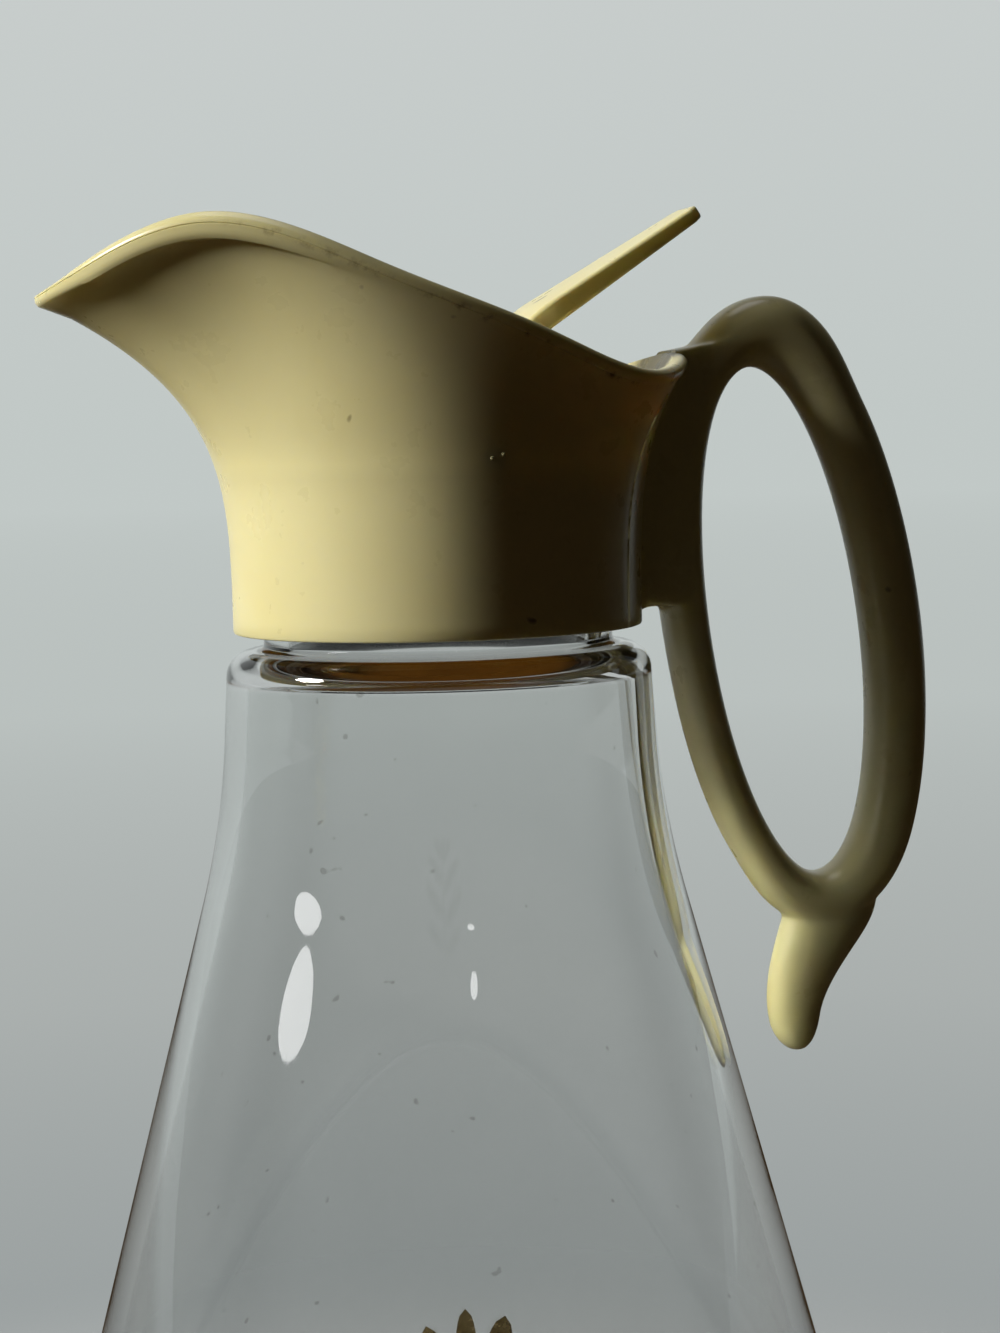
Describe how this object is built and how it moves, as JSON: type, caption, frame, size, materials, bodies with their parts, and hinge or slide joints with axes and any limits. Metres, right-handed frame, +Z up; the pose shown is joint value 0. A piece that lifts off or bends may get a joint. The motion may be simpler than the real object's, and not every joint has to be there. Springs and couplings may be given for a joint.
{
  "type": "syrup pitcher",
  "caption": "Cone-shaped glass syrup jar with a screw-on moulded pouring head, a flared pointed spout, a long loop handle and a thumb-lifted lid inside the head.",
  "frame": {"origin": "centre of the jar's flat underside, on the surface it stands on", "axes": "+Z up along the jar's axis, -X towards the spout, +X towards the handle, +Y across"},
  "size_m": [0.121, 0.111, 0.1888],
  "materials": {
    "clear_glass": "clear pressed glass, fire polished",
    "butter_plastic": "pale butter-yellow moulded plastic, satin and a little aged",
    "seal_rubber": "matte off-white rubber",
    "pin_steel": "drawn wire"
  },
  "bodies": {
    "jar": {"glass_jar": "clear_glass"},
    "seal": {"sealing_ring": "seal_rubber"},
    "head": {"pouring_head": "butter_plastic", "handle": "butter_plastic", "hinge_pin": "pin_steel"},
    "lid": {"pour_lid": "butter_plastic"}
  },
  "joints": [
    {"name": "head_lift", "type": "slide", "parent": "jar", "child": "seal", "axis": [0, 0, 1], "range_m": [0, 0.0068]},
    {"name": "head_turn", "type": "hinge", "parent": "seal", "child": "head", "pos_m": [0, 0, 0.136], "axis": [0, 0, 1], "range_deg": [0, 540]},
    {"name": "lid_swing", "type": "hinge", "parent": "head", "child": "lid", "pos_m": [0.002, 0, 0.1576], "axis": [0, 1, 0], "range_deg": [0, 15]}
  ],
  "couplings": [
    {"joint": "head_lift", "follows": "head_turn", "m_per_rad": 0.00070028}
  ]
}
